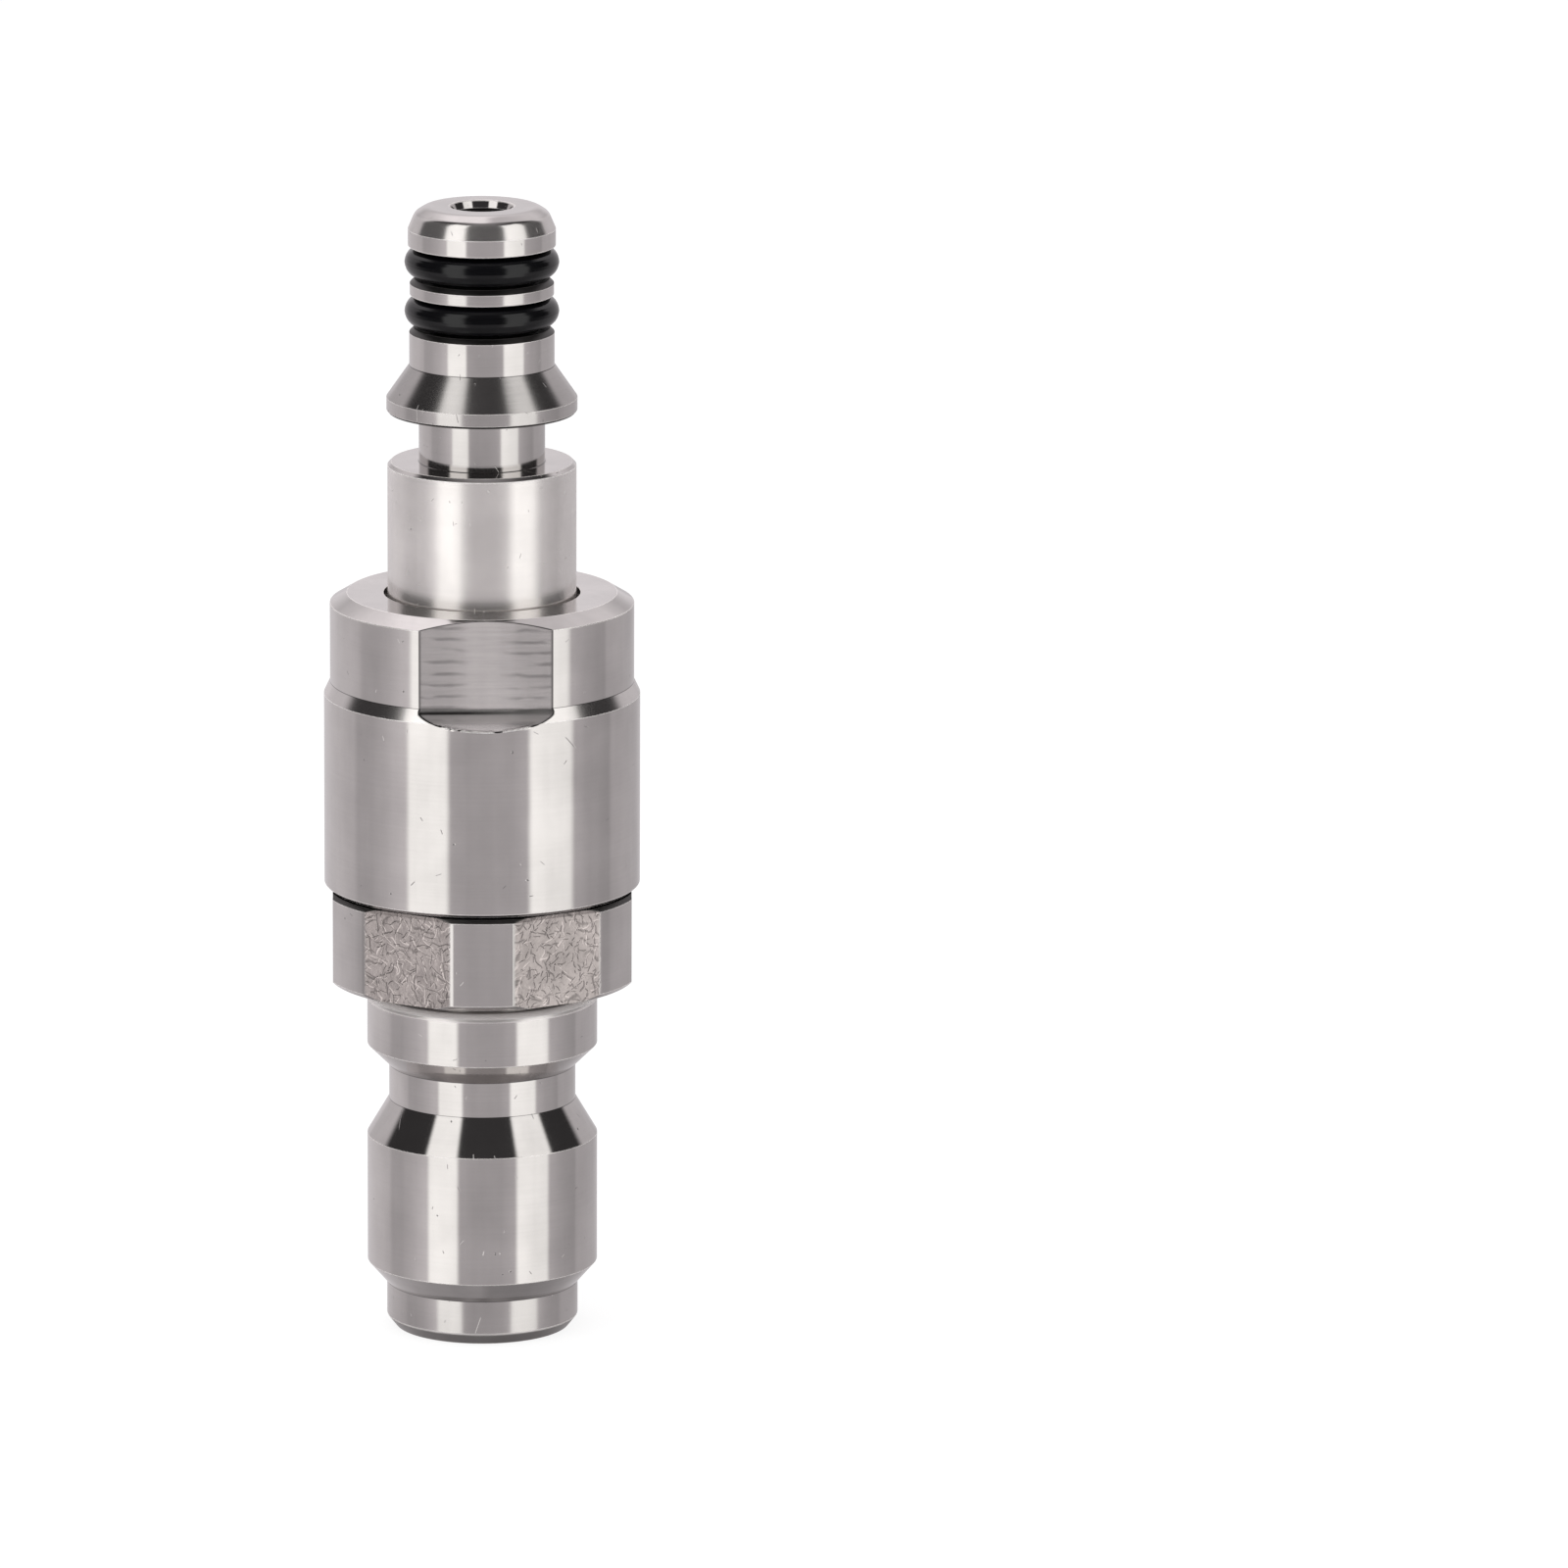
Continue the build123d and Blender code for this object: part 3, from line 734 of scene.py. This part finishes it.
rubber = grained("nitrile_rubber", (0.004, 0.004, 0.005), 0.17, 0.0, 2400.0, 0.0004 * MM, 0.5)
rubber.node_tree.nodes["Principled BSDF"].inputs["Specular IOR Level"].default_value = 0.38
bearing_steel = grained("bearing_steel", (0.70, 0.70, 0.71), 0.10, 1.0, 3000.0, 0.0002 * MM, 0.05)
bronze = grained("bush_bronze", (0.62, 0.40, 0.18), 0.30, 1.0, 2200.0, 0.0008 * MM, 0.12)
copper = grained("washer_copper", (0.72, 0.37, 0.24), 0.34, 1.0, 1800.0, 0.0010 * MM, 0.15)
ptfe = grained("white_ptfe", (0.80, 0.80, 0.77), 0.42, 0.0, 1500.0, 0.0010 * MM, 0.05)
wiper_plastic = grained("wiper_polyurethane", (0.04, 0.12, 0.07), 0.45, 0.0, 1500.0, 0.0010 * MM, 0.2)

# %% [markdown]
# ## Inlet nipple
# One turned piece: a threaded foot, a plain satin body, the neck for the retaining clip, a collar with a
# long cone, two O-ring grooves and a bored tip with a round nose. Its foot and tip come from the frame, and
# the steps between them are its own sizes.

# %% Turn the nipple
SATIN = 1.0                     # finish marks; a corner without one starts a bright turned stretch
# The next finish mark is painted shade: dark rough steel for bores and faces in shadow inside a joint
IN_SHADE = 2.0                    # rough and dark, for bores and for faces inside a joint
SHADED = 1.6                    # between the two, for faces in the shade
DULL = -1.0                     # darker and rougher; a share of it greys a bright surface
EDGE = 0.09 * MM                # broken outside edge
INNER = 0.05 * MM               # tool radius left in an inside corner


def levels(start, *heights):
    """Heights added up from a start."""
    result = [start]
    for height in heights:
        result.append(result[-1] + height * MM)
    return result


def corner_list(*corners):
    """Corners with radii in millimetres, heights in metres, a round and an optional finish."""
    return [(item[0] * MM, item[1], item[2], item[3] if len(item) > 3 else 0.0) for item in corners]


nipple_low, nipple_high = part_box("inlet_nipple")
foot_z = nipple_low[2]
z_thread, z_body, z_neck, z_collar, z_cone, z_shank, z_rear, z_land, z_front = levels(
    foot_z, 6.8, 12.37, 4.16, 1.22, 2.70, 3.10, 2.72, 1.35, 2.72
)[1:]
tip_top = nipple_high[2]
nipple_corners = corner_list(
    (2.5, foot_z, INNER, IN_SHADE),
    (7.65, foot_z, INNER),
    (7.95, foot_z + 0.3 * MM, INNER),
    (7.95, z_thread, EDGE),
    (7.75, z_thread, INNER, SATIN),
    (7.75, z_body - 0.3 * MM, EDGE),
    (7.45, z_body, EDGE),
    (5.175, z_body, INNER, 0.12 * DULL),
    (5.175, z_neck, INNER),
    (7.65, z_neck, INNER, IN_SHADE),
    (7.825, z_neck + 0.2 * MM, INNER, 0.2 * DULL),
    (7.825, z_collar, EDGE, 0.35 * DULL),
    (5.95, z_cone, EDGE),
    (5.95, z_shank - 0.4 * MM, EDGE, IN_SHADE),
    (5.55, z_shank, EDGE, IN_SHADE),
    (3.9, z_shank, INNER, IN_SHADE),
    (3.9, z_rear, INNER, IN_SHADE),
    (5.9, z_rear, EDGE, 0.12 * DULL),
    (5.9, z_land - 0.4 * MM, EDGE, IN_SHADE),
    (5.5, z_land, EDGE, IN_SHADE),
    (3.9, z_land, INNER, IN_SHADE),
    (3.9, z_front, INNER, IN_SHADE),
    (6.05, z_front, EDGE),
    (6.05, tip_top - 1.85 * MM, EDGE, 0.5 * SATIN),
    (5.5, tip_top - 0.56 * MM, 1.0 * MM, 0.1 * DULL),
    (4.6, tip_top, 1.2 * MM, 0.1 * DULL),
    (2.62, tip_top, 0.15 * MM),
    (2.36, tip_top - 0.62 * MM, INNER, IN_SHADE),
)
inlet_nipple = turn_piece("inlet_nipple_turned", nipple_corners, nipple_steel, Segments=288)

# %% [markdown]
# ## Swivel housing
# The housing is turned too, and then two wrench flats are milled from its top edge down to a slope that
# runs out into the barrel. The turned_form tree takes the flats as a count and a distance. Rows are packed
# closely where the slope and the top chamfer are cut, so that both curved edges come out clean.

# %% Turn and mill the housing
body_low, body_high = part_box("swivel_body")
body_z, body_top = body_low[2], body_high[2]
body_r = body_high[0] / MM
taper_top = body_top - 7.36 * MM
port_floor = body_top - 9.2 * MM
chamber_top = port_floor - 2.0 * MM
chamber_z = chamber_top - 3.6 * MM
bearing_z = body_z + 4.71 * MM
runout_z = body_top - 7.72 * MM
RUNOUT_SLOPE = 1 / tan(radians(35.5))
body_corners = corner_list(
    (10.7, body_z, INNER, IN_SHADE),
    (body_r - 0.25, body_z, EDGE),
    (body_r, body_z + 0.25 * MM, EDGE),
    (body_r, taper_top - 1.05 * MM, EDGE, 0.6),
    (12.5, taper_top, EDGE),
    (12.5, body_top - 0.84 * MM, EDGE),
    (11.1, body_top, EDGE, 0.25 * SATIN),
    (8.08, body_top, INNER),
    (8.0, body_top - 0.5 * MM, INNER),
    (8.0, port_floor, INNER),
    (3.5, port_floor, INNER),
    (3.5, chamber_top, INNER),
    (8.0, chamber_top, INNER),
    (8.0, chamber_z, INNER),
    (10.35, chamber_z, INNER),
    (10.35, bearing_z, INNER),
    (10.7, bearing_z, INNER),
)
runout_span = (taper_top - 2.4 * MM, taper_top + 0.4 * MM, 0.07 * MM)
chamfer_span = (body_top - 0.80 * MM, body_top - 0.02 * MM, 0.05 * MM)
swivel_body = turn_piece(
    "swivel_body_milled",
    body_corners,
    body_steel,
    longest=2.5 * MM,
    dense=(runout_span, chamfer_span),
    Segments=384,
    Flats=2.0,
    Crowding=0.5,
    **{
        "Flat Distance": 11.25 * MM,
        "Flat Phase": pi / 2,
        "Edge Softness": 0.06 * MM,
        "Run-out Height": runout_z,
        "Run-out Slope": RUNOUT_SLOPE,
        "Run-out Softness": 0.85 * MM,
        "Cut Half Width": 5.5 * MM,
        "Burr": 0.07 * MM,
        "Seed": 3.0,
    },
)

# %% [markdown]
# ## Gland nut
# A hexagon whose corners and end faces were turned, so each flat ends in a curve. The same tree cuts six
# flats, and its relief input presses the bar's uneven skin into them.

# %% Turn the nut from hexagon bar
nut_low, nut_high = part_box("gland_nut")
nut_z, spigot_top = nut_low[2], nut_high[2]
nut_top = nut_z + 7.64 * MM
nut_corners = corner_list(
    (6.3, nut_z, INNER),
    (12.6, nut_z, EDGE),
    (12.98, nut_z + 0.38 * MM, EDGE),
    (12.98, nut_top - 0.3 * MM, EDGE, IN_SHADE),
    (12.68, nut_top, INNER, IN_SHADE),
    (10.15, nut_top, INNER),
    (10.15, nut_top + 1.0 * MM, INNER),
    (10.65, nut_top + 1.5 * MM, INNER),
    (10.65, spigot_top - 0.3 * MM, INNER),
    (10.35, spigot_top, INNER),
    (7.54, spigot_top, INNER),
    (7.54, nut_z + 5.05 * MM, INNER),
    (6.3, nut_z + 5.05 * MM, INNER),
    (6.3, nut_z + 3.55 * MM, INNER),
    (7.44, nut_z + 3.55 * MM, INNER),
    (7.44, nut_z + 1.55 * MM, INNER),
    (6.3, nut_z + 1.55 * MM, INNER),
)
gland_nut = turn_piece(
    "gland_nut_turned",
    nut_corners,
    nut_steel,
    longest=1.5 * MM,
    dense=((nut_z, nut_top - 0.02 * MM, 0.11 * MM),),
    Segments=480,
    Flats=NUT_FLATS,
    Crowding=0.8,
    **{
        "Crowded Share": 0.9,
        "Flat Distance": 12.30 * MM,
        "Flat Phase": -NUT_TURN,
        "Edge Softness": 0.08 * MM,
        "Relief": 0.04 * MM,
        "Relief Scale": 1300.0,
        "Seed": 9.0,
    },
)

# %% [markdown]
# ## Quick plug
# The plug is the part that a coupler socket grips: a tip, a long barrel, and a neck for the locking balls.
# It is one piece with the spindle, whose groove carries the bearing balls.

# %% Turn the plug with its spindle
SPINDLE_R = 6.0                 # millimetres, as in the corner lists
BALL_PLAY = 0.05 * MM
GROOVE_STEPS = 10
plug_low, plug_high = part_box("quick_plug")
rim_z, spindle_top = plug_low[2], plug_high[2]
z_tip, z_barrel, z_latch, z_plug_neck, z_collar_cone, z_plug_collar, z_plug_top = levels(
    rim_z, 3.77, 1.83, 10.75, 3.03, 2.90, 1.78, 4.49
)[1:]
ball_low, ball_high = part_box("ball_01")
ball_z = (ball_low[2] + ball_high[2]) / 2
pitch_r = (ball_low[0] + ball_high[0]) / 2
race_r = (ball_high[2] - ball_low[2]) / 2 + BALL_PLAY
groove_depth = pitch_r - SPINDLE_R * MM
groove_half_angle = atan2(sqrt(race_r**2 - groove_depth**2), groove_depth)
groove = []
for step in range(GROOVE_STEPS + 1):
    angle = pi + groove_half_angle * (1 - 2 * step / GROOVE_STEPS)
    groove.append(((pitch_r + race_r * cos(angle)) / MM, ball_z - race_r * sin(angle), 0.01 * MM))
plug_corners = corner_list(
    (5.05, rim_z, INNER),
    (7.15, rim_z, 0.25 * MM, SHADED),
    (7.9, rim_z + 0.95 * MM, 0.3 * MM, 0.2 * DULL),
    (7.9, z_tip, INNER),
    (9.5, z_barrel, EDGE),
    (9.5, z_latch, EDGE),
    (7.7, z_plug_neck, INNER),
    (7.7, z_collar_cone, INNER),
    (9.5, z_plug_collar, EDGE),
    # The chamfer under the nut is made satin, and its round counts as a broken edge: a painted highlight
    (9.5, z_plug_top - 0.45 * MM, 0.7 * MM, SATIN),
    (9.05, z_plug_top, 0.7 * MM, SHADED),
    (SPINDLE_R, z_plug_top, INNER),
    *sorted(groove, key=lambda item: item[1]),
    (SPINDLE_R, spindle_top - 0.5 * MM, INNER),
    (5.5, spindle_top, INNER),
    (3.5, spindle_top, INNER),
    (3.5, rim_z + 15.75 * MM, INNER),
    (4.75, rim_z + 15.0 * MM, INNER),
    (4.75, rim_z + 0.3 * MM, INNER),
)
quick_plug = turn_piece("quick_plug_turned", plug_corners, plug_steel, Segments=288)

# %% [markdown]
# ## O-rings
# Each ring is a round cord closed on itself. A torus primitive would do, but the same tree turns them from a
# round profile, with the faint mould line round the outside.

# %% Turn the O-rings
CORD_STEPS = 28
FLASH = 0.012 * MM              # height of the mould line


def o_ring(name, node):
    """A ring of the size and place of its node, with a thin mould line on the outside."""
    low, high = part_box(node)
    middle_z = (low[2] + high[2]) / 2
    cord_r = (high[2] - low[2]) / 2
    outer_r = high[0]
    corners = []
    for step in range(CORD_STEPS):
        angle = 2 * pi * step / CORD_STEPS
        flash = FLASH if step == 0 else 0.0
        r = outer_r - cord_r + (cord_r + flash - FLASH) * cos(angle)
        corners.append((r, middle_z + cord_r * sin(angle), 0.02 * MM, 0.0))
    return turn_piece(name, corners, rubber, Segments=192)


rear_ring = o_ring("rear_o_ring_cord", "rear_o_ring")
front_ring = o_ring("front_o_ring_cord", "front_o_ring")

# %% [markdown]
# ## Every turned piece to its body, and the nodes' materials by slot
# The turned pieces stand for their nodes and move with the nodes' bodies. The hidden nodes stay as they are
# and only take a better material.

# %% Bodies, slots and materials
turned_pieces = (
    (inlet_nipple, "inlet_nipple", "housing", "turned_stainless"),
    (swivel_body, "swivel_body", "housing", "turned_stainless"),
    (gland_nut, "gland_nut", "housing", "turned_stainless"),
    (quick_plug, "quick_plug", "plug", "turned_stainless"),
    (rear_ring, "rear_o_ring", "housing", "black_rubber"),
    (front_ring, "front_o_ring", "housing", "black_rubber"),
)
for piece, node, body, slot in turned_pieces:
    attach(piece, body)
    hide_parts(node)

slot_materials = {
    "turned_stainless": plug_steel,
    "bearing_steel": bearing_steel,
    "black_rubber": rubber,
    "white_ptfe": ptfe,
    "wiper_polyurethane": wiper_plastic,
    "bush_bronze": bronze,
    "washer_copper": copper,
}
for subpart in frame["record"]["subparts"]:
    node_object = nodes[subpart["node"]]
    for material_slot in node_object.material_slots:
        material_slot.material = slot_materials[subpart["material_slot"]]

# %% [markdown]
# ## The studio
# Polished cylinders show the studio more than themselves. Two tall soft lamps stand left and right of the
# camera, the room in front is dark above the table, and the backdrop behind and overhead is bright. The
# world shader paints that room by direction, so that every round piece mirrors it the same way at any
# height.

# %% World: the room that the steel mirrors
world = bpy.data.worlds.new("studio")
bpy.context.scene.world = world
world.use_nodes = True
room = world.node_tree
room.nodes.clear()
direction = room.nodes.new("ShaderNodeTexCoord").outputs["Generated"]
ray = split(room, direction)
azimuth = calc(room, "ARCTAN2", ray["X"], times(room, ray["Y"], -1))
LAMP_BLUR = 2.5                 # degrees, half width of a lamp's soft sides


def tall_lamp(left_edge, right_edge, top):
    """A mask of a tall lamp between two azimuths in degrees, which leans back and widens upwards."""
    lean = larger(room, plus(room, ray["Z"], 0.2), 0.0)
    seen_azimuth = times(room, azimuth, times_plus(room, lean, -0.19, 1.0))
    left = ramp(room, seen_azimuth, radians(left_edge - LAMP_BLUR), radians(left_edge + LAMP_BLUR))
    right = ramp(room, seen_azimuth, radians(right_edge + LAMP_BLUR), radians(right_edge - LAMP_BLUR))
    upper = ramp(room, ray["Z"], top + 0.03, top - 0.03)
    lower = ramp(room, ray["Z"], -0.65, -0.45)
    return times(room, times(room, left, right), times(room, upper, lower))


# Levels of the room round the table, by azimuth from the back over the left, the front and the right
TABLE_ROUND = (
    (0.0, 0.68), (0.08, 0.69), (0.16, 0.65), (0.195, 0.60), (0.21, 0.49), (0.25, 0.49), (0.29, 0.58),
    (0.33, 0.74), (0.43, 0.55), (0.47, 0.49), (0.55, 0.50), (0.59, 0.58), (0.70, 0.57), (0.73, 0.48),
    (0.79, 0.41), (0.80, 0.51), (0.92, 0.53), (1.0, 0.64),
)
# Levels above the table, in front and behind, from the horizon up to the zenith
FRONT_UP = ((0.0, 0.035), (0.5, 0.040), (0.80, 0.050), (0.90, 0.10), (1.0, 0.34))
BACK_UP = ((0.0, 0.50), (0.35, 0.53), (0.53, 0.70), (0.80, 1.0), (1.0, 1.0))
LEFT_LAMP = -57.5, -26.4, 0.87
RIGHT_LAMP = 33.2, 68.2, 0.81
TABLE_TINT = (1.0, 0.958, 0.985)
LAMP_TINT = (1.0, 0.995, 0.985)
turn = between(room, azimuth, -pi, pi)
table = stepped(room, turn, TABLE_ROUND)
table = times(room, table, ramp(room, ray["Z"], -0.97, -0.30, 0.54, 1.0))
level_reach = calc(room, "SQRT", minus(room, 1.0, calc(room, "POWER", ray["Z"], 2.0)))
behind = times_plus(room, level_reach, -0.47, ray["Y"])
behind = ramp(room, behind, -0.05, 0.08)
back_up = times(room, stepped(room, ray["Z"], BACK_UP), 1.15)
back_up = plus(room, back_up, ramp(room, ray["Y"], 0.88, 0.98, 0.0, 0.20))
window = times(room, ramp(room, ray["X"], -0.48, -0.32), ramp(room, ray["X"], 0.16, 0.02))
dimming = times_plus(room, window, 0.46, -0.36)
overhead = times_plus(room, dimming, between(room, ray["Z"], 0.55, 0.85), 1.0)
back_up = times(room, back_up, overhead)
front_up = stepped(room, ray["Z"], FRONT_UP)
above = place(room, "ShaderNodeMix", {"data_type": "FLOAT"}, {0: behind, 2: front_up, 3: back_up}).outputs[0]
horizon = ramp(room, ray["Z"], -0.03, 0.03)
level = place(room, "ShaderNodeMix", {"data_type": "FLOAT"}, {0: horizon, 2: table, 3: above}).outputs[0]
lamps = larger(room, tall_lamp(*LEFT_LAMP), tall_lamp(*RIGHT_LAMP))
lamp_level = between(room, azimuth, radians(33), radians(68), 1.36, 1.18)
mirrored = mixed(room, lamps, scaled(room, TABLE_TINT, level), scaled(room, LAMP_TINT, lamp_level))
is_camera = room.nodes.new("ShaderNodeLightPath").outputs["Is Camera Ray"]
seen = mixed(room, is_camera, mirrored, (1, 1, 1, 1))
background = place(room, "ShaderNodeBackground", None, {0: seen, "Strength": 1.0})
place(room, "ShaderNodeOutputWorld", None, {0: background.outputs[0]})

# %% [markdown]
# ## Floor, lamp and camera
# The floor is a pale sheet that keeps a soft shadow and is left out of the mirror images, because the real
# coupling was lit as if it stood free. The camera looks down by about thirteen degrees through a long lens,
# with the coupling left of the middle, as in the photograph.

# %% Floor and soft lamp
FLOOR_HALF = 3.0
FLOOR_GLOW = 0.72               # share of its own light that the camera sees
floor_corners = [(x * FLOOR_HALF, y * FLOOR_HALF, 0) for x, y in ((-1, -1), (1, -1), (1, 1), (-1, 1))]
floor_mesh = bpy.data.meshes.new("floor")
floor_mesh.from_pydata(floor_corners, [], [(0, 1, 2, 3)])
floor = bpy.data.objects.new("floor", floor_mesh)
bpy.context.collection.objects.link(floor)
floor.visible_glossy = False
paper, paper_tree, paper_shader = principled("paper", (0.9, 0.9, 0.9), 0.9)
glow = place(paper_tree, "ShaderNodeEmission", None, {"Color": (1, 1, 1, 1), "Strength": 1.2})
keep = place(paper_tree, "ShaderNodeMixShader", None, {1: paper_shader.outputs[0], 2: glow.outputs[0]})
camera_only = paper_tree.nodes.new("ShaderNodeLightPath").outputs["Is Camera Ray"]
paper_tree.links.new(times(paper_tree, camera_only, FLOOR_GLOW), keep.inputs[0])
paper_tree.links.new(keep.outputs[0], paper_tree.nodes["Material Output"].inputs[0])
floor_mesh.materials.append(paper)

lamp_data = bpy.data.lights.new("soft_lamp", "AREA")
lamp_data.shape = "DISK"
lamp_data.size = 0.9
lamp_data.energy = 3.0
lamp = bpy.data.objects.new("soft_lamp", lamp_data)
lamp.location = (-0.15, -0.25, 0.8)
lamp.rotation_euler = (Vector((0, 0, 0.04)) - lamp.location).to_track_quat("-Z", "Y").to_euler()
lamp.visible_glossy = False
bpy.context.collection.objects.link(lamp)

# %% Camera
SENSOR = 36.0                   # millimetres
IMAGE = 1600                    # pixels across and down in the photograph
PIXEL = 0.0807 * MM             # width of a photograph pixel at the coupling's axis
ROW_HEIGHT = 0.0828 * MM        # height on the axis that one row of pixels spans
AXIS_COLUMN = 492.0             # column of the coupling's axis
FOOT_ROW = 1352.8               # row of the axis at the floor
ROLL = radians(0.24)            # the coupling leans a little to the right in the photograph
ELEVATION = radians(12.9)
AZIMUTH = radians(-1.6)
DISTANCE = 1.2
outward = Vector((sin(AZIMUTH) * cos(ELEVATION), -cos(AZIMUTH) * cos(ELEVATION), sin(ELEVATION)))
rightward = Vector((cos(AZIMUTH), sin(AZIMUTH), 0))
middle = Vector((0, 0, (FOOT_ROW - IMAGE / 2) * ROW_HEIGHT))
target = middle + rightward * (IMAGE / 2 - AXIS_COLUMN) * PIXEL
camera_data = bpy.data.cameras.new("camera")
camera_data.sensor_width = SENSOR
camera_data.lens = SENSOR * DISTANCE / (IMAGE * PIXEL)
camera = bpy.data.objects.new("camera", camera_data)
camera.location = middle + outward * DISTANCE
aim = (target - camera.location).to_track_quat("-Z", "Y")
camera.rotation_euler = (aim @ Quaternion((0, 0, 1), ROLL)).to_euler()
bpy.context.collection.objects.link(camera)
bpy.context.scene.camera = camera
bpy.context.scene.view_settings.view_transform = "Standard"
